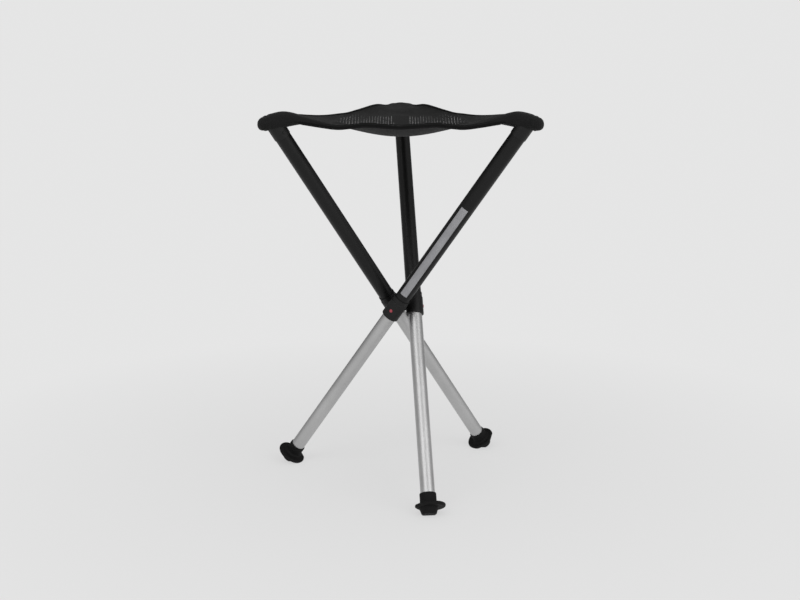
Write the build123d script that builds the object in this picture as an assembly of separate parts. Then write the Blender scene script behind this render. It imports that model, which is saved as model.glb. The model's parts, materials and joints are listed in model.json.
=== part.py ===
from build123d import *
import os
from math import atan2, cos, degrees, hypot, radians, sin, sqrt

# Telescopic tripod stool. Millimetres and degrees, +Z up.
# The origin lies on the floor, on the stool's upright centre line.

# Stance: where the leg axes pass the hub and where they end under the seat's corners
HUB_HEIGHT = 268.7
PIVOT_RADIUS = 21.5
CORNER_HEIGHT = 558.5
CORNER_RADIUS = 209.3
CORNER_ANGLES = {"a": 330.0, "b": 210.0, "c": 90.0}

# Telescoping tubes
OUTER_TUBE_OD = 23.4
OUTER_TUBE_WALL = 0.9
INNER_TUBE_WALL = 1.0
SLIDE_CLEARANCE = 0.15
INNER_TUBE_TOP = 40.0
TUBE_END_DROP = 12.0
FIT = 0.05

# Joint collar at the lower end of each outer tube
COLLAR_OD = 27.0
COLLAR_BOTTOM = -15.0
COLLAR_STEP = 13.8
COLLAR_TOP = 21.0
COLLAR_LIP_WALL = 1.0
COLLAR_EDGE = 1.2
TUBE_SEAT = 9.0
COLLAR_PIN_OD = 3.0
COLLAR_PIN_TURNS = (90.0, 270.0)
COLLAR_PIN_PROUD = 0.3
BOSS_OD = 14.0

# Hub spider with its three stub axles, thrust washers and retaining screws
CORE_INRADIUS = 4.2
CORE_HALF_HEIGHT = 9.0
CORE_EDGE = 1.0
STUB_OD = 8.0
WASHER_OD = 13.0
WASHER_THICKNESS = 0.4
END_PLAY = 0.1
HEAD_RECESS = 1.7
SCREW_HEAD_OD = 10.5
SCREW_HEAD_HEIGHT = 1.3
SCREW_OD = 3.5
SCREW_LENGTH = 6.0
SCREW_SOCKET_WIDTH = 2.5
SCREW_SOCKET_DEPTH = 0.8
HEAD_CLEARANCE = 0.3

# Leg lock: a push button in the collar over the stud of a bent spring clip
BUTTON_LEVEL = -1.0
BUTTON_OD = 5.0
BUTTON_PROUD = 0.6
BUTTON_FLANGE_OD = 6.6
BUTTON_FLANGE = 0.5
BUTTON_TRAVEL = 0.8
BUTTON_EDGE = 0.5
STUD_OD = 5.0
STUD_CLEARANCE = 0.3
CLIP_WIDTH = 6.0
CLIP_THICKNESS = 0.6
CLIP_INSET = 0.9
CLIP_LONG_ARM = 34.0
CLIP_SHORT_ARM = 14.0

# Guide bush on the inner tube and plug in its lower end
BUSH_COLLAR = 6.0
BUSH_SPIGOT = 10.0
BUSH_BORE = 14.0
PLUG_RIM = 2.0
PLUG_LENGTH = 25.0

# Rubber foot, measured along the leg from where its axis meets the floor
FOOT_BASE_END = 3.0
FOOT_BASE_RADIUS = 11.6
FOOT_BASE_EDGE = 3.0
FOOT_WAIST_RADIUS = 14.4
FOOT_SOCKET_END = 12.0
FOOT_TOP = 34.5
FOOT_NECK_OD = 24.5
FOOT_NECK_EDGE = 1.2
FOOT_FLARE = 4.0
FLANGE_RADIUS = 22.3
FLANGE_OFFSET = 2.5
FLANGE_LOW = 13.4
FLANGE_THICKNESS = 5.2
FLANGE_EDGE = 2.4
FLANGE_CORNER = 6.0
NEST_TURNS = (150.0, 210.0)
NEST_CLEARANCE = 0.2
LEG_STOP_GAP = 2.0

# Corner cap on the upper end of each outer tube
CAP_WALL = 0.8
CAP_SLEEVE = 27.0
CAP_CROWN = 4.0
CAP_CROWN_EDGE = 6.0
CAP_PLUG = 16.0
NOSE_RADIUS = 10.5
NOSE_REACH = 10.5
NOSE_DROP = 3.5
NOSE_HEIGHT = 12.0
NOSE_EDGE = 5.0
CAP_RIVET_OD = 3.2
CAP_RIVET_HEAD_OD = 5.0
CAP_RIVET_HEAD = 0.8

# Seat cloth: a triangle that dips along its edges and hangs lowest in the middle
CLOTH_RISE = 6.5
EDGE_DIPS = {"ab": 14.5, "bc": 1.5, "ca": 1.5}
BELLY_DROP = 22.7
MESH_THICKNESS = 1.2
OUTLINE_OVERHANG = 19.7
EDGE_BOW = 18.0
HEM_WIDTH = 2.6
HEM_HEIGHT = 7.0
HEM_RISE = 2.0
HEM_END_REACH = 28.0
CLOTH_CLEARANCE = 0.3
CLOTH_MARKS = 9

# Corner pocket of the seat: cross-sections across the corner's radius, given as the distance
# outward from the leg's top point, half width, half height and height over the top point
POCKET_SECTIONS = [
    (-52.0, 27.0, 4.5, 0.5),
    (-20.0, 17.0, 11.2, 1.8),
    (0.0, 14.5, 11.4, -1.0),
    (14.0, 11.5, 9.0, -3.0),
    (22.0, 5.0, 4.5, -3.8),
]
POCKET_INNER_REACH = 85.0
POCKET_INNER_HALF_WIDTH = 37.5
POCKET_INNER_HALF_HEIGHT = 1.6

# Bare label strip on the first outer tube
LABEL_START = 30.7
LABEL_LENGTH = 168.0
LABEL_WIDTH = 11.5
LABEL_TURN = 6.5
LABEL_THICKNESS = 0.3

# Sizes that follow from the driving dimensions
LEG_RUN = sqrt(CORNER_RADIUS**2 - PIVOT_RADIUS**2)
LEG_RISE = CORNER_HEIGHT - HUB_HEIGHT
LEG_TILT = degrees(atan2(LEG_RUN, LEG_RISE))
LEG_LEAD = degrees(atan2(LEG_RUN, PIVOT_RADIUS))
TOP_POINT = hypot(LEG_RUN, LEG_RISE)
FLOOR_POINT = -HUB_HEIGHT / cos(radians(LEG_TILT))
OUTER_RADIUS = OUTER_TUBE_OD / 2
BORE_RADIUS = OUTER_RADIUS - OUTER_TUBE_WALL
INNER_RADIUS = BORE_RADIUS - SLIDE_CLEARANCE
INNER_BORE_RADIUS = INNER_RADIUS - INNER_TUBE_WALL
OUTER_TUBE_TOP = TOP_POINT - TUBE_END_DROP
LIP_RADIUS = OUTER_RADIUS + FIT + COLLAR_LIP_WALL
COLLAR_PIN_LEVEL = (COLLAR_STEP + COLLAR_TOP) / 2
CAP_RADIUS = OUTER_RADIUS + FIT + CAP_WALL
CAP_LOW = TOP_POINT - CAP_SLEEVE
HEAD_SEAT = PIVOT_RADIUS - BORE_RADIUS - HEAD_RECESS
WASHER_FACE = CORE_INRADIUS + WASHER_THICKNESS
STUD_TIP = BORE_RADIUS + BUTTON_TRAVEL - END_PLAY
CLIP_REACH = INNER_BORE_RADIUS - CLIP_INSET
NEST_REACH = PIVOT_RADIUS * -cos(radians(NEST_TURNS[0])) - NEST_CLEARANCE
FOOT_TUBE_END = FLOOR_POINT + FOOT_SOCKET_END + PLUG_RIM
LEG_TRAVEL = COLLAR_BOTTOM - LEG_STOP_GAP - (FLOOR_POINT + FOOT_TOP)
CAP_RIVET_LEVEL = (CAP_LOW + OUTER_TUBE_TOP) / 2
CLOTH_CORNER_HEIGHT = CORNER_HEIGHT + CLOTH_RISE
OUTLINE_RADIUS = CORNER_RADIUS + OUTLINE_OVERHANG
EDGE_ARC_RADIUS = ((OUTLINE_RADIUS * cos(radians(30))) ** 2 + EDGE_BOW**2) / (2 * EDGE_BOW)


def rod(radius, low, high):
    """A cylinder along +Z from one level to another."""
    return Pos(0, 0, low) * Cylinder(radius, high - low, align=(Align.CENTER, Align.CENTER, Align.MIN))


def pipe(radius, bore, low, high):
    """A tube along +Z from one level to another."""
    return rod(radius, low, high) - rod(bore, low, high)


def spoke(level, turn=0.0):
    """Places what is built along +Z so that it points straight out of a leg at a level."""
    return Pos(0, 0, level) * Rot(0, 0, turn) * Rot(0, 90, 0)


def leg_place(leg):
    """The leg's own frame: +X away from the stool's centre line, +Z up along the leg."""
    out = radians(CORNER_ANGLES[leg] - LEG_LEAD)
    tilt = radians(LEG_TILT)
    along = (-sin(out) * sin(tilt), cos(out) * sin(tilt), cos(tilt))
    start = (PIVOT_RADIUS * cos(out), PIVOT_RADIUS * sin(out), HUB_HEIGHT)
    return Plane(origin=start, x_dir=(cos(out), sin(out), 0), z_dir=along).location


def axle_place(leg):
    """The leg's pivot axis: +Z points from the stool's centre line out to the leg."""
    out = CORNER_ANGLES[leg] - LEG_LEAD
    return Pos(0, 0, HUB_HEIGHT) * Rot(0, 0, out) * Rot(0, 90, 0)


def corner_place(leg):
    """The seat's corner over a leg: +X points away from the stool's centre line."""
    return Rot(0, 0, CORNER_ANGLES[leg]) * Pos(CORNER_RADIUS, 0, CORNER_HEIGHT)


def largest(shape):
    """The biggest solid of a cut shape."""
    return max(shape.solids(), key=lambda solid: solid.volume)


def hub_spider():
    core = extrude(RegularPolygon(CORE_INRADIUS, 3, major_radius=False), CORE_HALF_HEIGHT, both=True)
    core = fillet(core.edges().filter_by(Axis.Z), CORE_EDGE)
    turn = CORNER_ANGLES["a"] - LEG_LEAD - 180 / len(CORNER_ANGLES)
    spider = Pos(0, 0, HUB_HEIGHT) * Rot(0, 0, turn) * core
    for leg in CORNER_ANGLES:
        spider += axle_place(leg) * rod(STUB_OD / 2, 0, HEAD_SEAT + END_PLAY / 2)
    for leg in CORNER_ANGLES:
        hole = rod(SCREW_OD / 2, HEAD_SEAT + END_PLAY / 2 - SCREW_LENGTH, HEAD_SEAT + END_PLAY)
        spider -= axle_place(leg) * hole
    return spider


def thrust_washer():
    return pipe(WASHER_OD / 2, STUB_OD / 2 + FIT, CORE_INRADIUS, WASHER_FACE)


def pivot_screw():
    seat = HEAD_SEAT + END_PLAY / 2
    head_top = seat + SCREW_HEAD_HEIGHT
    screw = rod(SCREW_HEAD_OD / 2, seat, head_top) + rod(SCREW_OD / 2, seat - SCREW_LENGTH, head_top)
    socket = extrude(RegularPolygon(SCREW_SOCKET_WIDTH / 2, 6, major_radius=False), SCREW_SOCKET_DEPTH)
    return screw - Pos(0, 0, head_top - SCREW_SOCKET_DEPTH) * socket


def joint_collar():
    body = rod(COLLAR_OD / 2, COLLAR_BOTTOM, COLLAR_STEP)
    body = fillet(body.edges().filter_by(GeomType.CIRCLE), COLLAR_EDGE)
    body += rod(LIP_RADIUS, COLLAR_BOTTOM + COLLAR_EDGE, COLLAR_TOP)
    boss_face = PIVOT_RADIUS - WASHER_FACE - END_PLAY
    body += spoke(0, 180) * rod(BOSS_OD / 2, 0, boss_face)
    body -= rod(BORE_RADIUS, COLLAR_BOTTOM, COLLAR_TOP)
    body -= rod(OUTER_RADIUS + FIT, TUBE_SEAT, COLLAR_TOP)
    body -= spoke(0, 180) * rod(STUB_OD / 2 + FIT, 0, boss_face)
    body -= spoke(0, 180) * rod(SCREW_HEAD_OD / 2 + HEAD_CLEARANCE, 0, PIVOT_RADIUS - HEAD_SEAT)
    flange_stop = BORE_RADIUS + BUTTON_TRAVEL + BUTTON_FLANGE + FIT
    body -= spoke(BUTTON_LEVEL) * rod(BUTTON_OD / 2 + FIT, 0, COLLAR_OD)
    body -= spoke(BUTTON_LEVEL) * rod(BUTTON_FLANGE_OD / 2 + FIT, 0, flange_stop)
    for turn in COLLAR_PIN_TURNS:
        body -= spoke(COLLAR_PIN_LEVEL, turn) * rod(COLLAR_PIN_OD / 2, 0, COLLAR_OD)
    return body


def collar_pins():
    pin = rod(COLLAR_PIN_OD / 2, BORE_RADIUS + FIT, LIP_RADIUS + COLLAR_PIN_PROUD)
    return [spoke(COLLAR_PIN_LEVEL, turn) * pin for turn in COLLAR_PIN_TURNS]


def outer_tube():
    tube = pipe(OUTER_RADIUS, BORE_RADIUS, TUBE_SEAT, OUTER_TUBE_TOP)
    for turn in COLLAR_PIN_TURNS:
        tube -= spoke(COLLAR_PIN_LEVEL, turn) * rod(COLLAR_PIN_OD / 2, 0, COLLAR_OD)
    return tube - spoke(CAP_RIVET_LEVEL, 180) * rod(CAP_RIVET_OD / 2, 0, COLLAR_OD)


def lock_button():
    low = BORE_RADIUS + BUTTON_TRAVEL
    stem = rod(BUTTON_OD / 2, low, COLLAR_OD / 2 + BUTTON_PROUD)
    stem = fillet(stem.edges().group_by(Axis.Z)[-1], BUTTON_EDGE)
    return spoke(BUTTON_LEVEL) * (stem + rod(BUTTON_FLANGE_OD / 2, low, low + BUTTON_FLANGE))


def snap_clip():
    """A bent strip of spring steel with a stud at the end of its long arm."""
    bend = BUTTON_LEVEL - CLIP_LONG_ARM
    long_end = BUTTON_LEVEL + STUD_OD
    short_end = bend + CLIP_SHORT_ARM
    inside = CLIP_REACH - CLIP_THICKNESS
    with BuildPart() as clip:
        with BuildSketch(Plane.XZ):
            with BuildLine():
                Line((CLIP_REACH, long_end), (CLIP_REACH, bend))
                RadiusArc((CLIP_REACH, bend), (-CLIP_REACH, bend), CLIP_REACH)
                Polyline((-CLIP_REACH, bend), (-CLIP_REACH, short_end), (-inside, short_end))
                Line((-inside, short_end), (-inside, bend))
                RadiusArc((-inside, bend), (inside, bend), -inside)
                Polyline((inside, bend), (inside, long_end), (CLIP_REACH, long_end))
            make_face()
        extrude(amount=CLIP_WIDTH / 2, both=True)
    stud = rod(STUD_OD / 2, inside, STUD_TIP)
    stud = fillet(stud.edges().group_by(Axis.Z)[-1], BUTTON_EDGE)
    return clip.part + spoke(BUTTON_LEVEL) * stud


def inner_tube():
    tube = pipe(INNER_RADIUS, INNER_BORE_RADIUS, FOOT_TUBE_END, INNER_TUBE_TOP)
    return tube - spoke(BUTTON_LEVEL) * rod(STUD_OD / 2 + STUD_CLEARANCE, 0, COLLAR_OD)


def guide_bush():
    top = INNER_TUBE_TOP + BUSH_COLLAR
    bush = rod(BORE_RADIUS - FIT, INNER_TUBE_TOP, top)
    bush += rod(INNER_BORE_RADIUS - FIT, INNER_TUBE_TOP - BUSH_SPIGOT, top)
    return bush - rod(BUSH_BORE / 2, INNER_TUBE_TOP - BUSH_SPIGOT, top)


def foot_plug():
    rim = rod(INNER_RADIUS, FOOT_TUBE_END - PLUG_RIM, FOOT_TUBE_END)
    return rim + rod(INNER_BORE_RADIUS - FIT, FOOT_TUBE_END, FOOT_TUBE_END + PLUG_LENGTH)


def foot():
    """The rubber foot in the leg's frame, before the floor trims it flat."""
    flange_top = FLANGE_LOW + FLANGE_THICKNESS
    neck = FOOT_NECK_OD / 2
    sole = FOOT_BASE_RADIUS - FOOT_BASE_EDGE
    heel = FOOT_BASE_END + FOOT_BASE_EDGE
    shoulder = FOOT_TOP - FOOT_NECK_EDGE
    with BuildPart() as turned:
        with BuildSketch(Plane.XZ):
            with BuildLine():
                Line((0, FOOT_BASE_END), (sole, FOOT_BASE_END))
                RadiusArc((sole, FOOT_BASE_END), (FOOT_BASE_RADIUS, heel), -FOOT_BASE_EDGE)
                Line((FOOT_BASE_RADIUS, heel), (FOOT_WAIST_RADIUS, FLANGE_LOW))
                Line((FOOT_WAIST_RADIUS, FLANGE_LOW), (neck + FOOT_FLARE, flange_top))
                RadiusArc((neck + FOOT_FLARE, flange_top), (neck, flange_top + FOOT_FLARE), FOOT_FLARE)
                Line((neck, flange_top + FOOT_FLARE), (neck, shoulder))
                RadiusArc((neck, shoulder), (neck - FOOT_NECK_EDGE, FOOT_TOP), -FOOT_NECK_EDGE)
                Polyline((neck - FOOT_NECK_EDGE, FOOT_TOP), (0, FOOT_TOP), (0, FOOT_BASE_END))
            make_face()
        revolve(axis=Axis.Z)
    disc = Pos(FLANGE_OFFSET, 0, 0) * Circle(FLANGE_RADIUS)
    for turn in NEST_TURNS:
        cut = Pos(NEST_REACH + FLANGE_RADIUS, 0, 0) * Rectangle(2 * FLANGE_RADIUS, 4 * FLANGE_RADIUS)
        disc -= Rot(0, 0, turn) * cut
    flange = extrude(disc, FLANGE_THICKNESS)
    flange = fillet(flange.edges().filter_by(Axis.Z), FLANGE_CORNER)
    rims = flange.edges().group_by(Axis.Z)
    flange = fillet(rims[0] + rims[-1], FLANGE_EDGE)
    shape = turned.part + Pos(0, 0, FLANGE_LOW) * flange
    shape -= rod(INNER_RADIUS + FIT, FOOT_SOCKET_END, FOOT_TOP)
    return Pos(0, 0, FLOOR_POINT) * shape


def corner_cap(leg, grow=0.0):
    """A sleeve over the tube's end with an outward nose. Grown, it is the room a pocket leaves."""
    crown = rod(CAP_RADIUS + grow, CAP_LOW - grow, TOP_POINT + CAP_CROWN + grow)
    crown = fillet(crown.edges().group_by(Axis.Z)[-1], CAP_CROWN_EDGE)
    cap = leg_place(leg) * crown
    height = NOSE_HEIGHT + 2 * grow
    nose = Cylinder(NOSE_RADIUS + grow, height)
    nose = fillet(nose.edges().filter_by(GeomType.CIRCLE), NOSE_EDGE)
    cap += corner_place(leg) * Pos(NOSE_REACH, 0, -NOSE_DROP) * nose
    if grow:
        return cap
    socket = rod(OUTER_RADIUS + FIT, CAP_LOW, OUTER_TUBE_TOP)
    socket -= rod(BORE_RADIUS - FIT, OUTER_TUBE_TOP - CAP_PLUG, OUTER_TUBE_TOP)
    hole = spoke(CAP_RIVET_LEVEL, 180) * rod(CAP_RIVET_OD / 2, BORE_RADIUS / 2, COLLAR_OD)
    return cap - leg_place(leg) * socket - leg_place(leg) * hole


def cap_rivet():
    rivet = rod(CAP_RIVET_OD / 2, BORE_RADIUS / 2, CAP_RADIUS + CAP_RIVET_HEAD / 2)
    head = rod(CAP_RIVET_HEAD_OD / 2, CAP_RADIUS, CAP_RADIUS + CAP_RIVET_HEAD)
    head = fillet(head.edges().group_by(Axis.Z)[-1], CAP_RIVET_HEAD / 2)
    return spoke(CAP_RIVET_LEVEL, 180) * (rivet + head)


def label_strip():
    inside = OUTER_RADIUS + FIT
    strip = pipe(inside + LABEL_THICKNESS, inside, LABEL_START, LABEL_START + LABEL_LENGTH)
    slab = Box(OUTER_TUBE_OD, LABEL_WIDTH, LABEL_LENGTH, align=(Align.MIN, Align.CENTER, Align.MIN))
    return Rot(0, 0, LABEL_TURN) * (strip & Pos(0, 0, LABEL_START) * slab)


def seat_height(x, y):
    """How high the seat cloth lies over a point of the floor."""
    share = {}
    for leg, angle in CORNER_ANGLES.items():
        along = x * cos(radians(angle)) + y * sin(radians(angle))
        share[leg] = (1 + 2 * along / CORNER_RADIUS) / 3
    dip = sum(depth * 4 * share[edge[0]] * share[edge[1]] for edge, depth in EDGE_DIPS.items())
    return CLOTH_CORNER_HEIGHT - dip - BELLY_DROP * 27 * share["a"] * share["b"] * share["c"]


def cloth_layer(low, thickness, turn=0.0):
    """A layer that follows the seat's form from a distance above the cloth, on a turned grid."""
    pitch = 2 * OUTLINE_RADIUS / (CLOTH_MARKS - 1)
    marks = [index * pitch - OUTLINE_RADIUS for index in range(CLOTH_MARKS)]
    spots = [[Vector(x, y, 0).rotate(Axis.Z, turn) for x in marks] for y in marks]
    grid = [[(spot.X, spot.Y, seat_height(spot.X, spot.Y) + low) for spot in row] for row in spots]
    return extrude(Face.make_surface_from_array_of_points(grid), thickness, dir=(0, 0, 1))


def edge_angle(edge):
    """The way out from the stool's centre line square to a seat edge."""
    across = [Vector(1, 0, 0).rotate(Axis.Z, CORNER_ANGLES[leg]) for leg in edge]
    middle = across[0] + across[1]
    return degrees(atan2(middle.Y, middle.X))


def edge_round(edge, grow):
    """The upright cylinder that bows a seat edge inward."""
    reach = OUTLINE_RADIUS / 2 - EDGE_BOW + EDGE_ARC_RADIUS
    bow = rod(EDGE_ARC_RADIUS + grow, HUB_HEIGHT, 2 * CORNER_HEIGHT)
    return Rot(0, 0, edge_angle(edge)) * Pos(reach, 0, 0) * bow


def seat_triangle():
    plan = RegularPolygon(OUTLINE_RADIUS, 3, rotation=CORNER_ANGLES["c"], align=None)
    return Pos(0, 0, HUB_HEIGHT) * extrude(plan, CORNER_HEIGHT)


def past_reach(leg, reach):
    """The room outward of a distance from a corner."""
    outward = (Align.MIN, Align.CENTER, Align.CENTER)
    room = Box(OUTLINE_RADIUS, OUTLINE_RADIUS, OUTLINE_RADIUS, align=outward)
    return corner_place(leg) * Pos(reach, 0, 0) * room


def seat_pocket(leg):
    """The cloth pocket that is drawn over a corner cap."""
    inner = CORNER_RADIUS - POCKET_INNER_REACH
    corner = radians(CORNER_ANGLES[leg])
    inner_height = seat_height(inner * cos(corner), inner * sin(corner)) - CORNER_HEIGHT
    sections = [(-POCKET_INNER_REACH, POCKET_INNER_HALF_WIDTH, POCKET_INNER_HALF_HEIGHT, inner_height)]
    faces = []
    for reach, half_width, half_height, lift in sections + POCKET_SECTIONS:
        upright = Plane(origin=(reach, 0, lift), x_dir=(0, 0, -1), z_dir=(1, 0, 0))
        faces.append(upright * Ellipse(half_height, half_width))
    return corner_place(leg) * loft(faces)


def seat_hem(edge, pockets):
    """A standing band of folded cloth along one edge, between two pockets."""
    hem = cloth_layer(HEM_RISE - HEM_HEIGHT, HEM_HEIGHT, edge_angle(edge)) & seat_triangle()
    hem = hem & edge_round(edge, HEM_WIDTH)
    hem -= edge_round(edge, 0)
    for leg in edge:
        hem -= past_reach(leg, -HEM_END_REACH)
        hem -= pockets[leg]
    return largest(hem)


def seat_mesh():
    """The see-through middle of the seat, inside the hems and up to the pockets."""
    plan = seat_triangle()
    for edge in EDGE_DIPS:
        plan -= edge_round(edge, HEM_WIDTH)
    for leg in CORNER_ANGLES:
        plan -= past_reach(leg, -POCKET_INNER_REACH)
    return largest(cloth_layer(-MESH_THICKNESS / 2, MESH_THICKNESS) & plan)


def build():
    """Every node by name. A node is one solid, or a list of like solids."""
    nodes = {
        "hub_spider": hub_spider(),
        "thrust_washers": [axle_place(leg) * thrust_washer() for leg in CORNER_ANGLES],
        "pivot_screws": [axle_place(leg) * pivot_screw() for leg in CORNER_ANGLES],
    }
    floor_side = 4 * CORNER_RADIUS
    floor = Pos(0, 0, -HUB_HEIGHT / 2) * Box(floor_side, floor_side, HUB_HEIGHT)
    in_leg = {
        "outer_tube": outer_tube(),
        "joint_collar": joint_collar(),
        "lock_button": lock_button(),
        "cap_rivet": cap_rivet(),
        "inner_tube": inner_tube(),
        "guide_bush": guide_bush(),
        "snap_clip": snap_clip(),
        "foot_plug": foot_plug(),
    }
    rubber_foot = foot()
    pockets = {}
    for leg in CORNER_ANGLES:
        place = leg_place(leg)
        for name, shape in in_leg.items():
            nodes[name + "_" + leg] = place * shape
        nodes["collar_pins_" + leg] = [place * pin for pin in collar_pins()]
        nodes["foot_" + leg] = place * rubber_foot - floor
        nodes["corner_cap_" + leg] = corner_cap(leg)
        pockets[leg] = seat_pocket(leg)
        room = corner_cap(leg, CLOTH_CLEARANCE)
        nodes["seat_pocket_" + leg] = largest(pockets[leg] - room)
    nodes["label_strip"] = leg_place("a") * label_strip()
    for edge in EDGE_DIPS:
        nodes["seat_hem_" + edge] = seat_hem(edge, pockets)
    nodes["seat_mesh"] = seat_mesh()
    return nodes


os.makedirs("parts", exist_ok=True)
for node, shape in build().items():
    pieces = shape if isinstance(shape, list) else [shape]
    solids = [solid for piece in pieces for solid in piece.solids()]
    export_step(Compound(children=solids), f"parts/{node}.step")
print(f"tilt {LEG_TILT:.3f} deg, leg travel {LEG_TRAVEL:.1f} mm, floor point {FLOOR_POINT:.1f} mm")
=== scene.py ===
import json
from math import copysign, cos, hypot, pi, radians, sin, sqrt, tan

import bmesh
import bpy
from mathutils import Matrix, Vector


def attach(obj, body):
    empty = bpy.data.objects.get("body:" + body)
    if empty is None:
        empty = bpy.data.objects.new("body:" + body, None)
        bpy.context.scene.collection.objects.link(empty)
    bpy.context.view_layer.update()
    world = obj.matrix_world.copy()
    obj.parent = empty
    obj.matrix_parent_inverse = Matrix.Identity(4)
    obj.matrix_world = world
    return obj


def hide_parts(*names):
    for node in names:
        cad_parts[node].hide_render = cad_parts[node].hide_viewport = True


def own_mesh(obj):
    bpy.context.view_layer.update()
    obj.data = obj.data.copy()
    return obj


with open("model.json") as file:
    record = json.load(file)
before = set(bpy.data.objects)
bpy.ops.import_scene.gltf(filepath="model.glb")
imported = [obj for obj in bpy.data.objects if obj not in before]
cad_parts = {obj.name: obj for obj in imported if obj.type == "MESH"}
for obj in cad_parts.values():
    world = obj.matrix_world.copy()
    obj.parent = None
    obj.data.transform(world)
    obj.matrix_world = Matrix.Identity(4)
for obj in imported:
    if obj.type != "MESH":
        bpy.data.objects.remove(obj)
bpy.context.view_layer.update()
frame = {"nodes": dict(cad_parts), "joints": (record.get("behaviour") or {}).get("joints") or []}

# Stance of the stool in metres, on the floor under its pivot hub
MM = 0.001
CORNER_HEIGHT = 558.5 * MM
CORNER_RADIUS = 209.3 * MM
CORNER_ANGLES = {"a": 330.0, "b": 210.0, "c": 90.0}
JOINTS = {joint["name"]: joint for joint in frame["joints"]}
HUB = Vector(JOINTS["fold_a"]["pos_m"])
# Each leg's axle, pointing away from the hub, and its way upward
OUTWARD = {leg: Vector(JOINTS["fold_" + leg]["axis"]) for leg in CORNER_ANGLES}
ALONG = {leg: Vector(JOINTS["leg_slide_" + leg]["axis"]) for leg in CORNER_ANGLES}

# Seat cloth: its height at the corners, its thickness, how far its edges and its middle hang below the
# corners, and how pointed the middle is
CLOTH_CORNER_HEIGHT = 565.0 * MM
CLOTH_THICKNESS = 1.2 * MM
EDGE_DIPS = {"ab": 12.0 * MM, "bc": 1.5 * MM, "ca": 1.5 * MM}
BELLY_DROP = 27.5 * MM
BELLY_POINT = 1.4
# Outline of the seat in plan: a triangle whose edges bow inward as arcs
SIXTH_TURN = pi / 3
TWELFTH_TURN = pi / 6
OUTLINE_RADIUS = 229.0 * MM
EDGE_BOW = 18.0 * MM
EDGE_ARC_RADIUS = ((OUTLINE_RADIUS * cos(TWELFTH_TURN)) ** 2 + EDGE_BOW**2) / (2 * EDGE_BOW)
ARC_CENTRE = OUTLINE_RADIUS / 2 - EDGE_BOW + EDGE_ARC_RADIUS
EDGE_MIDDLE_OUT = (OUTLINE_RADIUS / 2 - EDGE_BOW) * cos(SIXTH_TURN)
# Lift of the edges over an even dip, in mm: the back ones by share of the way from a front corner to
# the back one, the front one by share of the way from a corner to the other
BACK_WAVER = [
    (share, lift * MM)
    for share, lift in (
        (0.08, 0.0), (0.13, 0.2), (0.18, 1.2), (0.25, -0.6), (0.31, -1.4), (0.37, -1.2), (0.44, 0.0),
        (0.50, 0.7), (0.56, 2.9), (0.69, 6.9), (0.75, 6.9), (0.81, 4.8), (0.88, 4.4), (0.95, 2.2),
    )
]
FRONT_WAVER = [
    (share, lift * MM)
    for share, lift in (
        (0.08, 0.0), (0.16, -2.2), (0.22, -4.0), (0.28, -4.6), (0.33, -1.6), (0.38, 1.5), (0.50, 0.0),
    )
]

# Hem, the folded band along an edge: its section, where it starts, and how it thins towards its start
HEM_WIDTH = 2.6 * MM
HEM_HEIGHT = 7.0 * MM
HEM_RISE = 1.5 * MM
HEM_SQUARE = 0.5
HEM_START = 22.0 * MM
HEM_TAPER = 0.12
HEM_THIN_END = 0.2
HEM_STEPS = 60
HEM_SEGMENTS = 16

# Corner pocket, as distance from the leg's top point: inward to where it begins and to its crest, outward
# to where its toe rounds off and to its tip
POCKET_REACH = 85.0 * MM
CREST_REACH = 20.0 * MM
TOE_ROUND = 14.0 * MM
TOE_REACH = 21.8 * MM
# Its sections: distance out, half width, half height and lift over the top point, in mm
POCKET_SECTIONS = [
    tuple(length * MM for length in section)
    for section in (
        (-85.0, 43.0, 0.6, 2.0),
        (-52.0, 27.0, 4.5, 0.5),
        (-20.0, 17.0, 11.2, 1.8),
        (0.0, 14.5, 11.6, -1.2),
        (14.0, 11.5, 9.2, -3.6),
        (22.0, 5.0, 4.5, -4.9),
    )
]
# Share of the pocket's lift that the cloth's edges take
EDGE_LIFT = 0.15
# Toe: the swelling of its sewn end by distance out, in mm, its boxy section and its slanting creases
TOE_SEAM = [
    (out * MM, swelling * MM)
    for out, swelling in ((-20.0, 0.0), (4.0, 0.0), (7.5, -0.7), (10.0, 0.3), (13.0, 0.0), (22.0, 0.0))
]
TOE_SQUARE = 0.9
TOE_CREASES = 7
TOE_CREASE_DEPTH = 0.4 * MM
TOE_CREASE_SLANT = 9.0 * MM
TOE_STEPS = 60
TOE_SEGMENTS = 64

# Strips of the seat that fan out from each corner, each in three spans: the pocket's cloth, the net as
# far as the edge's middle, and the net beyond it
GORES = 7
GORE_SPANS = 3
GORE_STEPS = 20
GORE_ROWS = 6
# Half width of a corner's fan at the edges' middle, and how it widens inward
FAN_WIDTH = EDGE_MIDDLE_OUT * tan(SIXTH_TURN)
FAN_SLOPE = 0.53
# Seam between the pocket and the net: its distance inward from the leg's top point, and how much further
# in it lies at the edges
SEAM_REACH = 97.0 * MM
SEAM_CURVE = 62.0 * MM
# Pleats across a corner's fan, and how far inward from the top point they fade out
PLEATS = 3
PLEAT_DEPTH = 0.5 * MM
PLEAT_FADE = 140.0 * MM

# Making of the meshes: half of a unit grid, slack for rounding, merging and sharp edges
GRID_HALF = 0.5
GRID_SLACK = 1e-6
MERGE_DISTANCE = 0.02 * MM
SHARP_ANGLE = radians(50)

# Patterns: the scales of the slow clouds, how far drawn lines stretch along a tube, how much wrinkles
# outweigh threads, and the part of the mask that the tones span
GRAIN_CLOUD = 38.0
DRAWN_CLOUD = 22.0
WEAVE_CLOUD = 45.0
LINE_STRETCH = 0.012
WRINKLE = 5.0
TONE_RANGE = (0.3, 0.7)
# Net: the scale of its waves, the level over which they are open, and how much the cross threads close
NET_SCALE = 75.0
NET_HOLE = 0.94
NET_CROSS = 0.15
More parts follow.
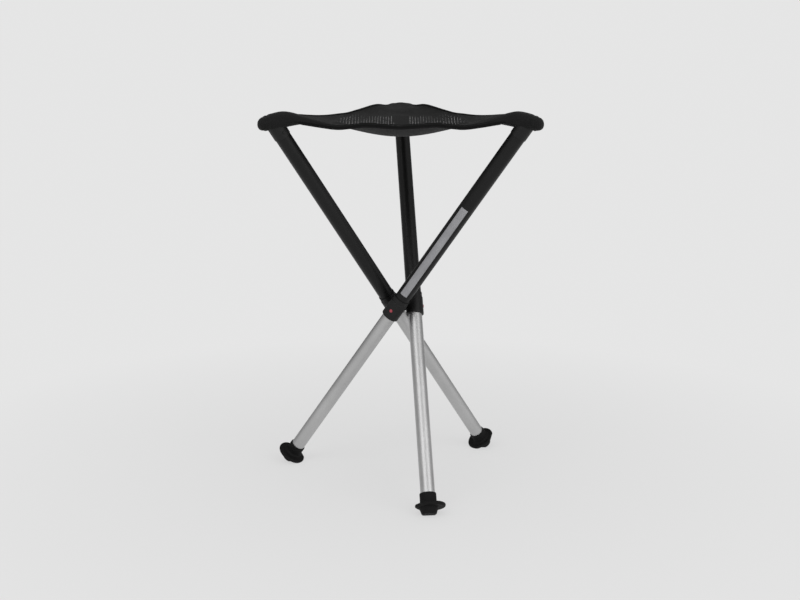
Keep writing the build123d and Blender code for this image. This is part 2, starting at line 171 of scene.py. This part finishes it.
# Stitches: their number across a strip or along a half hem, the places of their two rows and half their
# width as shares of the cloth, the share of thread in a step, and the thread's grey
SEAM_STITCHES = 9.0
SEAM_ROWS = (0.315, 0.33)
SEAM_THREAD = 0.003
HEM_STITCHES = 60.0
HEM_ROWS = (0.43, 0.57)
HEM_THREAD = 0.012
STITCH_SHARE = 0.62
THREAD = 46

# Finishes: dark and light tone as shown on screen, range of roughness, strength and depth of the bump,
# the pattern's scale, and further inputs of the shader
MOULDED_FINISHES = {
    "satin_black_moulding": dict(
        tones=(15, 21), rough=(0.42, 0.55), bump=(0.15, 0.2 * MM), scale=2600.0, Specular_IOR_Level=0.3
    ),
    "matt_black_rubber": dict(
        tones=(14, 20), rough=(0.62, 0.78), bump=(0.3, 0.3 * MM), scale=1500.0, Specular_IOR_Level=0.18
    ),
    "red_button": dict(
        tones=((160, 58, 70), (174, 68, 80)), rough=(0.3, 0.4), bump=(0.05, 0.1 * MM), scale=2600.0
    ),
    "natural_nylon": dict(
        tones=((205, 203, 194), (215, 213, 205)), rough=(0.4, 0.5), bump=(0.1, 0.2 * MM), scale=2000.0
    ),
    "bright_steel": dict(
        tones=(180, 195), rough=(0.25, 0.35), bump=(0.05, 0.1 * MM), scale=2600.0, Metallic=1.0
    ),
    "bare_label_foil": dict(
        tones=((150, 150, 153), (166, 166, 169)), rough=(0.35, 0.48), bump=(0.05, 0.1 * MM), scale=2000.0,
        Metallic=0.4,
    ),
}
DRAWN_FINISHES = {
    "black_anodised": dict(
        tones=(14, 20), rough=(0.36, 0.46), bump=(0.08, 0.2 * MM), scale=1500.0, Specular_IOR_Level=0.26
    ),
    "satin_aluminium": dict(
        tones=(190, 200), rough=(0.4, 0.5), bump=(0.1, 0.2 * MM), scale=1500.0, Metallic=1.0
    ),
}
CLOTH_FINISH = dict(
    tones=(16, 23), rough=(0.7, 0.85), bump=(0.4, 0.3 * MM), scale=900.0, Specular_IOR_Level=0.2,
    Sheen_Weight=0.04,
)
WOVEN_FINISHES = {
    "seat_cloth": CLOTH_FINISH,
    "pocket_cloth": CLOTH_FINISH,
    "hem_binding": {**CLOTH_FINISH, "tones": (9, 14), "Specular_IOR_Level": 0.12},
    "seat_net": dict(
        tones=(30, 38), rough=(0.6, 0.8), bump=(0.3, 0.3 * MM), scale=900.0, Specular_IOR_Level=0.2
    ),
}
# Which finish the CAD nodes wear: those of the hub and the label, and those of each leg
HUB_FINISHES = {
    "hub_spider": "satin_black_moulding",
    "thrust_washers": "natural_nylon",
    "pivot_screws": "bright_steel",
    "label_strip": "bare_label_foil",
}
LEG_FINISHES = {
    "outer_tube": "black_anodised",
    "cap_rivet": "black_anodised",
    "inner_tube": "satin_aluminium",
    "joint_collar": "satin_black_moulding",
    "collar_pins": "satin_black_moulding",
    "corner_cap": "satin_black_moulding",
    "foot_plug": "satin_black_moulding",
    "foot": "matt_black_rubber",
    "guide_bush": "natural_nylon",
    "snap_clip": "bright_steel",
    "lock_button": "red_button",
}

# Camera, fitted to the photograph
EYE = Vector((0, -1.826, 0.6597))
AIM = Vector((0, 0, 0.292))
LENS = 54.376
SENSOR = 36.0
SHIFT = (-0.00085, -0.0109)

# Light and backdrop: what the camera sees, what lights the stool, and what mirrors in the metal from in
# front, from the sides and from behind
BACKDROP = 0.787
SURROUND = 0.42
MIRRORED = (0.45, 0.45, 0.05)
# Floor: half its side, how far from the hub it shows shade, and how much
FLOOR_HALF = 30.0
FLOOR_CLEAR = 0.9
FLOOR_SHADE = 0.35
FLOOR_ROUGHNESS = 0.9
# Lamps: place, size and power
LAMPS = {
    "key": (Vector((-1.4, -2.0, 2.4)), 2.4, 29.0),
    "fill": (Vector((1.9, -1.8, 1.6)), 2.4, 28.0),
    "back": (Vector((0.6, 2.2, 2.4)), 2.0, 3.0),
}
LAMP_AIM = Vector((0, 0, 0.3))


def grey(level):
    """An even colour of a level in linear light."""
    return (level, level, level, 1.0)


def srgb(shown):
    """A grey or a colour as it shows on screen, 0 to 255, in linear light."""
    linear = []
    for part in shown if isinstance(shown, tuple) else (shown,) * 3:
        part = part / 255
        linear.append(part / 12.92 if part <= 0.04045 else ((part + 0.055) / 1.055) ** 2.4)
    return (*linear, 1.0)


def feed(tree, socket, value):
    """Links an input to another socket, or sets it to a value."""
    if isinstance(value, bpy.types.NodeSocket):
        tree.links.new(value, socket)
    else:
        socket.default_value = value


def add(tree, kind, *values, **settings):
    """A shader node with its properties set, and its inputs fed by name or in their order."""
    made = tree.nodes.new(kind)
    for name, value in settings.items():
        if hasattr(made, name):
            setattr(made, name, value)
        else:
            feed(tree, made.inputs[name.replace("_", " ")], value)
    for socket, value in zip(made.inputs, values):
        feed(tree, socket, value)
    return made


def maths(tree, operation, *terms):
    """The value of a maths node over sockets and plain numbers."""
    return add(tree, "ShaderNodeMath", *terms, operation=operation).outputs["Value"]


def new_group(name, inputs, outputs):
    """An empty node group that takes a vector and named values and puts out named values."""
    tree = bpy.data.node_groups.new(name, "ShaderNodeTree")
    tree.interface.new_socket("Vector", in_out="INPUT", socket_type="NodeSocketVector")
    for label in inputs:
        tree.interface.new_socket(label, in_out="INPUT", socket_type="NodeSocketFloat")
    for label in outputs:
        tree.interface.new_socket(label, in_out="OUTPUT", socket_type="NodeSocketFloat")
    return tree, tree.nodes.new("NodeGroupInput").outputs, tree.nodes.new("NodeGroupOutput").inputs


def new_pattern(name):
    """An empty group for a pattern: a height for bump and a slow mask for tone and gloss."""
    return new_group(name, ("Scale",), ("Height", "Mask"))


def grain_pattern():
    """Fine moulded grain."""
    tree, given, put = new_pattern("moulded_grain")
    place = given["Vector"]
    fine = add(tree, "ShaderNodeTexNoise", Vector=place, Scale=given["Scale"], Detail=4.0, Roughness=0.6)
    cloud = add(tree, "ShaderNodeTexNoise", Vector=place, Scale=GRAIN_CLOUD, Detail=3.0)
    feed(tree, put["Height"], fine.outputs["Fac"])
    feed(tree, put["Mask"], cloud.outputs["Fac"])
    return tree


def drawn_pattern():
    """Faint drawing lines along a tube, which runs along Z of the given vector."""
    tree, given, put = new_pattern("drawn_lines")
    place = given["Vector"]
    stretch = add(tree, "ShaderNodeMapping", Vector=place, Scale=(1.0, 1.0, LINE_STRETCH))
    stretched = stretch.outputs["Vector"]
    lines = add(tree, "ShaderNodeTexNoise", Vector=stretched, Scale=given["Scale"], Detail=2.0)
    cloud = add(tree, "ShaderNodeTexNoise", Vector=place, Scale=DRAWN_CLOUD, Detail=3.0)
    feed(tree, put["Height"], lines.outputs["Fac"])
    feed(tree, put["Mask"], cloud.outputs["Fac"])
    return tree


def waves(tree, place, scale, **settings):
    """Two crossing sets of waves, along X and along Y."""
    found = []
    for axis in ("X", "Y"):
        wave = add(tree, "ShaderNodeTexWave", bands_direction=axis, Vector=place, Scale=scale, **settings)
        found.append(wave.outputs["Fac"])
    return found


def weave_pattern():
    """Plain weave, in the plane of the seat: crossing threads over slow wrinkles."""
    tree, given, put = new_pattern("plain_weave")
    place = given["Vector"]
    threads = maths(tree, "MULTIPLY", *waves(tree, place, given["Scale"], Distortion=0.6, Detail=1.0))
    cloud = add(tree, "ShaderNodeTexNoise", Vector=place, Scale=WEAVE_CLOUD, Detail=4.0).outputs["Fac"]
    feed(tree, put["Height"], maths(tree, "MULTIPLY_ADD", cloud, WRINKLE, threads))
    feed(tree, put["Mask"], cloud)
    return tree


def stitch_group():
    """Rows of stitches that run along X of the given vector, at two places of its Y."""
    tree, given, put = new_group("stitch_rows", ("Count", "First", "Second", "Half Width"), ("Mask",))
    parts = add(tree, "ShaderNodeSeparateXYZ", Vector=given["Vector"]).outputs
    rows = [
        maths(tree, "COMPARE", parts["Y"], given[place], given["Half Width"])
        for place in ("First", "Second")
    ]
    step = maths(tree, "FRACT", maths(tree, "MULTIPLY", parts["X"], given["Count"]))
    dash = maths(tree, "LESS_THAN", step, STITCH_SHARE)
    feed(tree, put["Mask"], maths(tree, "MULTIPLY", maths(tree, "MAXIMUM", *rows), dash))
    return tree


PATTERNS = {tree.name: tree for tree in (grain_pattern(), drawn_pattern(), weave_pattern())}
STITCHES = stitch_group()


def finish(name, pattern, scale, tones, rough, bump, turn=None, **shader):
    """A material whose tone and gloss follow a pattern's mask and whose bump follows its height."""
    made = bpy.data.materials.new(name)
    made.use_nodes = True
    tree = made.node_tree
    place = add(tree, "ShaderNodeTexCoord").outputs["Object"]
    if turn is not None:
        place = add(tree, "ShaderNodeMapping", vector_type="TEXTURE", Vector=place,
                    Location=turn.to_translation(), Rotation=turn.to_euler()).outputs["Vector"]
    effect = add(tree, "ShaderNodeGroup", node_tree=PATTERNS[pattern], Vector=place, Scale=scale).outputs
    tone = add(tree, "ShaderNodeValToRGB", Fac=effect["Mask"])
    for element, position, shown in zip(tone.color_ramp.elements, TONE_RANGE, tones):
        element.position = position
        element.color = srgb(shown)
    gloss = add(tree, "ShaderNodeMapRange", Value=effect["Mask"], To_Min=rough[0], To_Max=rough[1])
    relief = add(tree, "ShaderNodeBump", Height=effect["Height"], Strength=bump[0], Distance=bump[1])
    shade = tree.nodes["Principled BSDF"].inputs
    feed(tree, shade["Base Color"], tone.outputs["Color"])
    feed(tree, shade["Roughness"], gloss.outputs["Result"])
    feed(tree, shade["Normal"], relief.outputs["Normal"])
    for label, value in shader.items():
        feed(tree, shade[label.replace("_", " ")], value)
    return made


def stitch(material, count, places, half_width, turned=False):
    """Sews two rows of thread on a cloth, along its U or, turned, along its V."""
    tree = material.node_tree
    place = add(tree, "ShaderNodeTexCoord").outputs["UV"]
    if turned:
        place = add(tree, "ShaderNodeMapping", Vector=place, Rotation=(0, 0, pi / 2),
                    Scale=(1, -1, 1)).outputs["Vector"]
    rows = add(tree, "ShaderNodeGroup", node_tree=STITCHES, Vector=place, Count=count, First=places[0],
               Second=places[1], Half_Width=half_width)
    colour = tree.nodes["Principled BSDF"].inputs["Base Color"]
    sewn = add(tree, "ShaderNodeMix", data_type="RGBA", Factor=rows.outputs["Mask"],
               A=colour.links[0].from_socket, B=srgb(THREAD))
    feed(tree, colour, sewn.outputs["Result"])


def cut_net(material):
    """Opens holes between the threads of the net, in the seat's own level pattern."""
    tree = material.node_tree
    place = add(tree, "ShaderNodeTexCoord").outputs["Object"]
    columns, bars = waves(tree, place, NET_SCALE)
    bars = maths(tree, "MULTIPLY_ADD", bars, NET_CROSS, 1 - NET_CROSS)
    thread = maths(tree, "LESS_THAN", maths(tree, "MULTIPLY", columns, bars), NET_HOLE)
    feed(tree, tree.nodes["Principled BSDF"].inputs["Alpha"], thread)


def leg_frame(leg):
    """The leg's own frame: X away from the hub, Z up along the leg."""
    axes = Matrix((OUTWARD[leg], ALONG[leg].cross(OUTWARD[leg]), ALONG[leg])).transposed()
    return Matrix.Translation(HUB) @ axes.to_4x4()


def dress(node, material):
    """Gives a CAD node its finish."""
    mesh = frame["nodes"][node].data
    mesh.materials.clear()
    mesh.materials.append(material)


def dress_hardware():
    """Finishes for the tubes, mouldings, feet and small parts. The tubes' lines run along each leg."""
    made = {name: finish(name, "moulded_grain", **look) for name, look in MOULDED_FINISHES.items()}
    for leg in CORNER_ANGLES:
        for name, look in DRAWN_FINISHES.items():
            made[name] = finish(f"{name}_{leg}", "drawn_lines", turn=leg_frame(leg), **look)
        for node, name in LEG_FINISHES.items():
            dress(f"{node}_{leg}", made[name])
    for node, name in HUB_FINISHES.items():
        dress(node, made[name])


def in_scene(name, data):
    """A new object of the scene."""
    made = bpy.data.objects.new(name, data)
    bpy.context.scene.collection.objects.link(made)
    return made


def new_piece(name, bm, *materials):
    """A finished bmesh as a smooth shaded object."""
    bmesh.ops.remove_doubles(bm, verts=bm.verts[:], dist=MERGE_DISTANCE)
    bmesh.ops.recalc_face_normals(bm, faces=bm.faces[:])
    mesh = bpy.data.meshes.new(name)
    bm.to_mesh(mesh)
    bm.free()
    for material in materials:
        mesh.materials.append(material)
    mesh.shade_smooth()
    mesh.set_sharp_from_angle(angle=SHARP_ANGLE)
    return in_scene(name, mesh)


def unit_grid(steps, rows):
    """A flat grid with a UV map, one unit long and wide round the origin."""
    bm = bmesh.new()
    bm.loops.layers.uv.new("flat")
    bmesh.ops.create_grid(bm, x_segments=steps, y_segments=rows, size=GRID_HALF, calc_uvs=True)
    return bm


def rolled(name, steps, segments, point, material):
    """A closed piece from a rolled up grid, with points by share of its length and turn round it."""
    bm = unit_grid(steps, segments)
    for vert in bm.verts:
        vert.co = point(vert.co.x + GRID_HALF, (vert.co.y + GRID_HALF) * 2 * pi)
    bmesh.ops.remove_doubles(bm, verts=bm.verts[:], dist=MERGE_DISTANCE)
    bmesh.ops.holes_fill(bm, edges=[edge for edge in bm.edges if edge.is_boundary])
    return new_piece(name, bm, material)


def clamped(share):
    """A share kept between 0 and 1."""
    return min(max(share, 0.0), 1.0)


def squarish(turn, power):
    """The level and the upright part of a direction, boxier than a circle if the power is under 1."""
    return [copysign(abs(part) ** power, part) for part in (cos(turn), sin(turn))]


def eased(rows, at):
    """The values that go with a place, on a smooth curve through rows of a place and its values."""
    below = max(index for index in range(len(rows) - 1) if at >= rows[index][0] or not index)
    table = [rows[min(max(below + step, 0), len(rows) - 1)] for step in (-1, 0, 1, 2)]
    span = table[2][0] - table[1][0]
    part = clamped((at - table[1][0]) / span)
    found = []
    for column in range(1, len(rows[0])):
        low, high = table[1][column], table[2][column]
        rise_low = span * (high - table[0][column]) / max(table[2][0] - table[0][0], span)
        rise_high = span * (table[3][column] - low) / max(table[3][0] - table[1][0], span)
        found.append(
            low * (2 * part**3 - 3 * part**2 + 1)
            + rise_low * (part**3 - 2 * part**2 + part)
            + high * (3 * part**2 - 2 * part**3)
            + rise_high * (part**3 - part**2)
        )
    return found


def corner_axes(leg):
    """The level directions out to a corner and to its side."""
    turn = radians(CORNER_ANGLES[leg])
    return Vector((cos(turn), sin(turn), 0)), Vector((-sin(turn), cos(turn), 0))


def cloth_height(x, y):
    """How high the middle of the seat cloth lies over a point of the floor."""
    # Shares of the three corners: each dip is whole at its edge's middle, the belly at the seat's middle
    share = {}
    for leg in CORNER_ANGLES:
        out = corner_axes(leg)[0]
        share[leg] = (1 + 2 * (x * out.x + y * out.y) / CORNER_RADIUS) / 3
    dip = sum(depth * 4 * share[edge[0]] * share[edge[1]] for edge, depth in EDGE_DIPS.items())
    belly = max(27 * share["a"] * share["b"] * share["c"], 0.0) ** BELLY_POINT
    return CLOTH_CORNER_HEIGHT - dip - BELLY_DROP * belly


def cut_half_width(out):
    """Half width of the fan of strips of one corner, at a distance out from the centre."""
    if out < EDGE_MIDDLE_OUT:
        return FAN_WIDTH + FAN_SLOPE * (EDGE_MIDDLE_OUT - out)
    beside = out - ARC_CENTRE * cos(SIXTH_TURN)
    return ARC_CENTRE * sin(SIXTH_TURN) - sqrt(EDGE_ARC_RADIUS**2 - beside**2)


def fan_end(across):
    """Distance from the centre where a line of the fan meets the next corner's third."""
    across = abs(across)
    return across * (FAN_WIDTH + FAN_SLOPE * EDGE_MIDDLE_OUT) / (tan(SIXTH_TURN) + FAN_SLOPE * across)


def hem_waver(leg, out, across):
    """How far the edges waver, fading into the seat."""
    along = (1 - out / OUTLINE_RADIUS) / 2 / (1 - EDGE_MIDDLE_OUT / OUTLINE_RADIUS)
    front = corner_axes(leg)[1].y * across < 0
    if leg == "c":
        lift = eased(BACK_WAVER, 1 - along)[0]
    else:
        lift = eased(FRONT_WAVER if front else BACK_WAVER, along)[0]
    fade = min(out / EDGE_MIDDLE_OUT, 1.0) ** 2
    return lift * abs(across) ** 3 * fade


def gore_out(share, across):
    """Distance out from the centre, with grid lines kept on the pocket's seam and on the edge's middle."""
    seam = CORNER_RADIUS - SEAM_REACH - SEAM_CURVE * across**2
    marks = [CORNER_RADIUS - CREST_REACH, seam, EDGE_MIDDLE_OUT, fan_end(across)]
    place = share * GORE_SPANS
    index = min(int(place + GRID_SLACK), GORE_SPANS - 1)
    return marks[index] + (marks[index + 1] - marks[index]) * (place - index)


def gore_point(leg, out, across, layer):
    """A point of the cloth: across runs from -1 to 1 between the edges, layer is 1 on top and -1 below."""
    axis, side = corner_axes(leg)
    reach = out - CORNER_RADIUS
    half_width = cut_half_width(out)
    half_height = 0.0
    spread = 1 - across**2
    # How far the cloth is drawn from the sagging sheet into the pocket
    drawn = clamped((reach + POCKET_REACH) / (POCKET_REACH - CREST_REACH))
    drawn = drawn * drawn * (3 - 2 * drawn)
    if drawn > 0:
        pocket_width, half_height, lift = eased(POCKET_SECTIONS, reach)
        half_width += (pocket_width - half_width) * drawn
    spot = axis * out + side * (across * half_width)
    height = cloth_height(spot.x, spot.y) + hem_waver(leg, out, across)
    if drawn > 0:
        height += (CORNER_HEIGHT + lift - height) * drawn * (EDGE_LIFT + (1 - EDGE_LIFT) * spread)
    crease = sin(across * PLEATS * pi) * PLEAT_DEPTH * sin(pi * clamped(-reach / PLEAT_FADE)) ** 2
    swell = sqrt(half_height**2 * max(spread, 0) + (CLOTH_THICKNESS / 2) ** 2)
    return Vector((spot.x, spot.y, height + crease + layer * swell))


def toe_point(leg, share, turn):
    """A point of a pocket's rounded end, from the crest out to the tip."""
    axis, side = corner_axes(leg)
    reach = -CREST_REACH + (TOE_REACH + CREST_REACH) * sin(share * pi / 2)
    half_width, half_height = eased(POCKET_SECTIONS, min(reach, TOE_ROUND))[:2]
    lift = eased(POCKET_SECTIONS, reach)[2]
    crease = (1 + sin(turn * TOE_CREASES + reach / TOE_CREASE_SLANT)) / 2 * sin(share * pi) ** 2
    bead = eased(TOE_SEAM, reach)[0] + TOE_CREASE_DEPTH * crease
    close = sqrt(max(1 - (max(reach - TOE_ROUND, 0) / (TOE_REACH - TOE_ROUND)) ** 2, 0))
    flat, tall = squarish(turn, TOE_SQUARE)
    spot = axis * (CORNER_RADIUS + reach) + side * ((half_width + bead) * close * flat)
    return Vector((spot.x, spot.y, CORNER_HEIGHT + lift + (half_height + bead) * close * tall))


def hem_point(leg, way, share, turn):
    """A point of a hem, from the pocket to the middle of the edge on one side of a corner."""
    axis, side = corner_axes(leg)
    start = CORNER_RADIUS - HEM_START
    inward = side * -way * cos(TWELFTH_TURN) - axis * sin(TWELFTH_TURN)
    grow = min(1.0, HEM_THIN_END + share / HEM_TAPER)
    flat, tall = squarish(turn, HEM_SQUARE)
    spot = gore_point(leg, start + (EDGE_MIDDLE_OUT - start) * share, way, 0)
    spot += inward * (HEM_WIDTH / 2 * (1 + flat * grow))
    spot.z += HEM_RISE - HEM_HEIGHT / 2 + HEM_HEIGHT / 2 * grow * tall
    return spot


def hang(piece, leg, far_point):
    """The piece rides on its leg, with a mesh of its own."""
    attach(piece, "upper_leg_" + leg)
    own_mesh(piece)


def seat_gore(leg, index, cloth, net):
    """One lengthwise strip of a corner's third of the seat, from the pocket's crest inward."""
    bm = unit_grid(GORE_STEPS * GORE_SPANS, GORE_ROWS)
    under = bmesh.ops.extrude_face_region(bm, geom=bm.faces[:])["geom"]
    bmesh.ops.translate(bm, verts=[v for v in under if isinstance(v, bmesh.types.BMVert)], vec=(0, 0, -1))
    for face in bm.faces:
        face.material_index = 1 if face.calc_center_median().x + GRID_HALF > 1 / GORE_SPANS else 0
    for vert in bm.verts:
        across = (index + vert.co.y + GRID_HALF) / GORES * 2 - 1
        layer = 1 if vert.co.z > -GRID_HALF else -1
        vert.co = gore_point(leg, gore_out(vert.co.x + GRID_HALF, across), across, layer)
    piece = new_piece(f"seat_gore_{leg}{index + 1}", bm, cloth, net)
    middle = (index + 0.5) / GORES * 2 - 1
    hang(piece, leg, gore_point(leg, fan_end(middle), middle, 0))
    return piece


def pocket_toe(leg, cloth):
    """The rigid end of a pocket, drawn tight over the corner cap and its nose."""
    piece = rolled("seat_pocket_toe_" + leg, TOE_STEPS, TOE_SEGMENTS,
                   lambda share, turn: toe_point(leg, share, turn), cloth)
    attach(piece, "upper_leg_" + leg)
    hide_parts("seat_pocket_" + leg)


def seat_hem(leg, edge, binding):
    """Half of the folded band along an edge, from a pocket to the middle of the edge."""
    other = corner_axes(edge.replace(leg, ""))[0]
    way = 1 if other.dot(corner_axes(leg)[1]) > 0 else -1
    piece = rolled(f"seat_hem_{edge}_{leg}", HEM_STEPS, HEM_SEGMENTS,
                   lambda share, turn: hem_point(leg, way, share, turn), binding)
    hang(piece, leg, gore_point(leg, EDGE_MIDDLE_OUT, way, 0))
    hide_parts("seat_hem_" + edge)


def seat():
    """The seat: pocket toes, strips of cloth and net, and hems."""
    woven = {name: finish(name, "plain_weave", **look) for name, look in WOVEN_FINISHES.items()}
    stitch(woven["seat_cloth"], SEAM_STITCHES, SEAM_ROWS, SEAM_THREAD, turned=True)
    stitch(woven["hem_binding"], HEM_STITCHES, HEM_ROWS, HEM_THREAD)
    cut_net(woven["seat_net"])
    for leg in CORNER_ANGLES:
        pocket_toe(leg, woven["pocket_cloth"])
        gores = [seat_gore(leg, index, woven["seat_cloth"], woven["seat_net"]) for index in range(GORES)]
        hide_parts("seat_mesh")
        for edge in EDGE_DIPS:
            if leg in edge:
                seat_hem(leg, edge, woven["hem_binding"])
    for node in frame["nodes"]:
        if node.startswith("seat_"):
            dress(node, woven["seat_cloth"])


def studio_floor():
    """A pale floor that runs out of sight, evenly bright but for soft shade near the stool."""
    bm = bmesh.new()
    bmesh.ops.create_grid(bm, x_segments=1, y_segments=1, size=FLOOR_HALF)
    mesh = bpy.data.meshes.new("studio_floor")
    bm.to_mesh(mesh)
    bm.free()
    floor = in_scene("studio_floor", mesh)
    pale = bpy.data.materials.new("pale_floor")
    mesh.materials.append(pale)
    pale.use_nodes = True
    tree = pale.node_tree
    shade = tree.nodes["Principled BSDF"]
    shade.inputs["Base Color"].default_value = grey(BACKDROP)
    shade.inputs["Roughness"].default_value = FLOOR_ROUGHNESS
    shade.inputs["Specular IOR Level"].default_value = 0.0
    glow = add(tree, "ShaderNodeEmission", Color=grey(BACKDROP), Strength=1.0)
    # The glow shows to the camera and in mirrored light, and gives way to shade towards the hub
    place = add(tree, "ShaderNodeTexCoord").outputs["Object"]
    shrunk = add(tree, "ShaderNodeMapping", Vector=place, Scale=(1 / FLOOR_CLEAR,) * 3).outputs["Vector"]
    near = add(tree, "ShaderNodeTexGradient", gradient_type="SPHERICAL", Vector=shrunk).outputs["Fac"]
    clear = add(tree, "ShaderNodeMapRange", Value=near, To_Min=1.0, To_Max=1.0 - FLOOR_SHADE)
    ray = add(tree, "ShaderNodeLightPath").outputs
    seen = maths(tree, "MAXIMUM", ray["Is Camera Ray"], ray["Is Glossy Ray"])
    share = maths(tree, "MULTIPLY", seen, clear.outputs["Result"])
    mix = add(tree, "ShaderNodeMixShader", share, shade.outputs["BSDF"], glow.outputs["Emission"])
    feed(tree, tree.nodes["Material Output"].inputs["Surface"], mix.outputs["Shader"])


def studio_surround():
    """An even pale surround for the camera, with other levels for lighting and for what metal mirrors."""
    world = bpy.data.worlds.new("studio_surround")
    bpy.context.scene.world = world
    world.use_nodes = True
    tree = world.node_tree
    ray = add(tree, "ShaderNodeLightPath").outputs
    facing = add(tree, "ShaderNodeTexCoord").outputs["Generated"]
    parts = add(tree, "ShaderNodeSeparateXYZ", Vector=facing).outputs
    depth = add(tree, "ShaderNodeMapRange", Value=parts["Y"], From_Min=-1.0)
    mirrored = add(tree, "ShaderNodeValToRGB", Fac=depth.outputs["Result"])
    mirrored.color_ramp.elements.new(0.5)
    for element, tone in zip(mirrored.color_ramp.elements, MIRRORED):
        element.color = grey(tone)
    shine = mirrored.outputs["Color"]
    unseen = add(tree, "ShaderNodeMix", Factor=ray["Is Glossy Ray"], A=SURROUND, B=shine)
    level = add(tree, "ShaderNodeMix", Factor=ray["Is Camera Ray"], A=unseen.outputs["Result"], B=BACKDROP)
    back = tree.nodes["Background"].inputs
    back["Color"].default_value = grey(1.0)
    feed(tree, back["Strength"], level.outputs["Result"])


def turn_to(held, place, aim):
    """Puts a lamp or the camera in its place, turned to its aim."""
    held.location = place
    held.rotation_euler = (aim - place).to_track_quat("-Z", "Y").to_euler()


def lamps():
    """Soft studio lamps."""
    for name, (place, size, power) in LAMPS.items():
        lamp = bpy.data.lights.new(name, "AREA")
        lamp.size = size
        lamp.energy = power
        turn_to(in_scene(name, lamp), place, LAMP_AIM)


def camera():
    """The camera, as fitted to the photograph."""
    lens = bpy.data.cameras.new("view")
    lens.lens = LENS
    lens.sensor_width = SENSOR
    lens.shift_x, lens.shift_y = SHIFT
    held = in_scene("view", lens)
    turn_to(held, EYE, AIM)
    bpy.context.scene.camera = held


dress_hardware()
seat()
studio_floor()
studio_surround()
lamps()
camera()
bpy.context.scene.view_settings.view_transform = "Standard"
